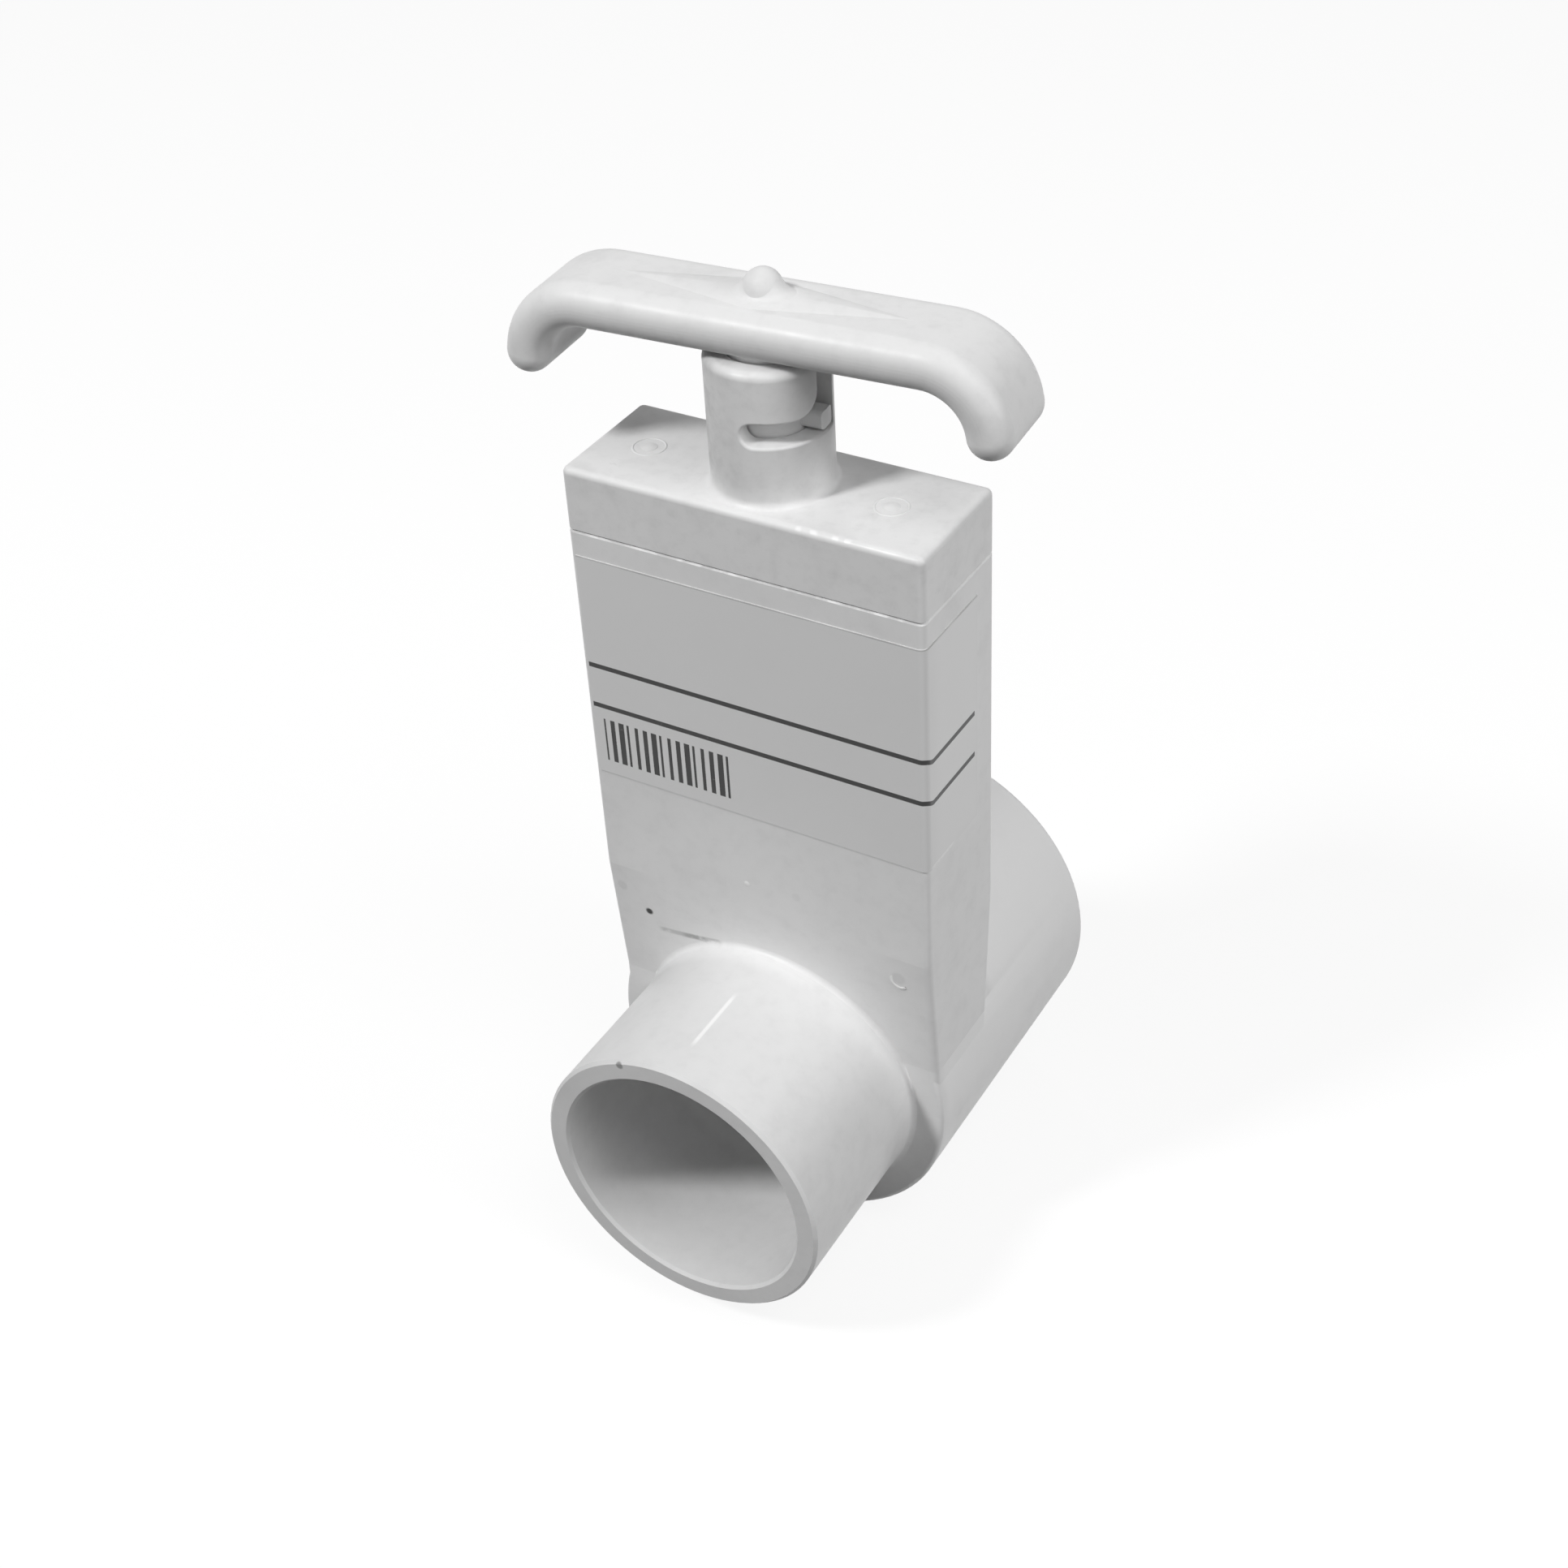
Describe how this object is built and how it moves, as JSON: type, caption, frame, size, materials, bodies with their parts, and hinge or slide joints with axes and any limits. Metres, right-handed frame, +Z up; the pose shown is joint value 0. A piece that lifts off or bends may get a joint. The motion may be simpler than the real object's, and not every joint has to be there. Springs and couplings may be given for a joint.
{
  "type": "slide gate valve",
  "caption": "White plastic pull-to-open slide valve for 1-1/2 inch pipe, with a socket end, a spigot end and a T-handle that lifts the gate and twists to lock.",
  "frame": {"origin": "where the flow axis crosses the stem axis, in the middle of the gate", "axes": "+Z up along the stem towards the handle, +Y along the flow axis out of the socket, -Y out of the spigot, which is the side with the label, +X to the right seen from the spigot"},
  "size_m": [0.0756, 0.083, 0.1649],
  "materials": {
    "body_plastic": "semi-gloss white moulded plastic",
    "bonnet_plastic": "semi-gloss white moulded plastic",
    "gate_plastic": "semi-gloss white moulded plastic",
    "stem_plastic": "smooth white plastic rod",
    "handle_plastic": "semi-gloss white moulded plastic",
    "gland_plastic": "plain white plastic",
    "seal_rubber": "black rubber",
    "steel": "stainless steel",
    "label_film": "white film, slightly glossy"
  },
  "bodies": {
    "housing": {"valve_body": "body_plastic", "bonnet_cap": "bonnet_plastic", "front_port_seal": "seal_rubber", "rear_port_seal": "seal_rubber", "lower_stem_oring": "seal_rubber", "upper_stem_oring": "seal_rubber", "gland_spacer": "gland_plastic", "gland_retainer": "gland_plastic", "label_film": "label_film"},
    "gate": {"gate_blade": "gate_plastic"},
    "stem_and_handle": {"stem": "stem_plastic", "stem_washer": "steel", "stem_clip": "steel", "handle": "handle_plastic", "handle_screw": "steel", "handle_plug": "handle_plastic"}
  },
  "joints": [
    {"name": "gate_lift", "type": "slide", "parent": "housing", "child": "gate", "axis": [0, 0, 1], "range_m": [0, 0.046]},
    {"name": "handle_turn", "type": "hinge", "parent": "gate", "child": "stem_and_handle", "pos_m": [0, 0, 0.1], "axis": [0, 0, 1], "range_deg": [-76, 0]}
  ]
}
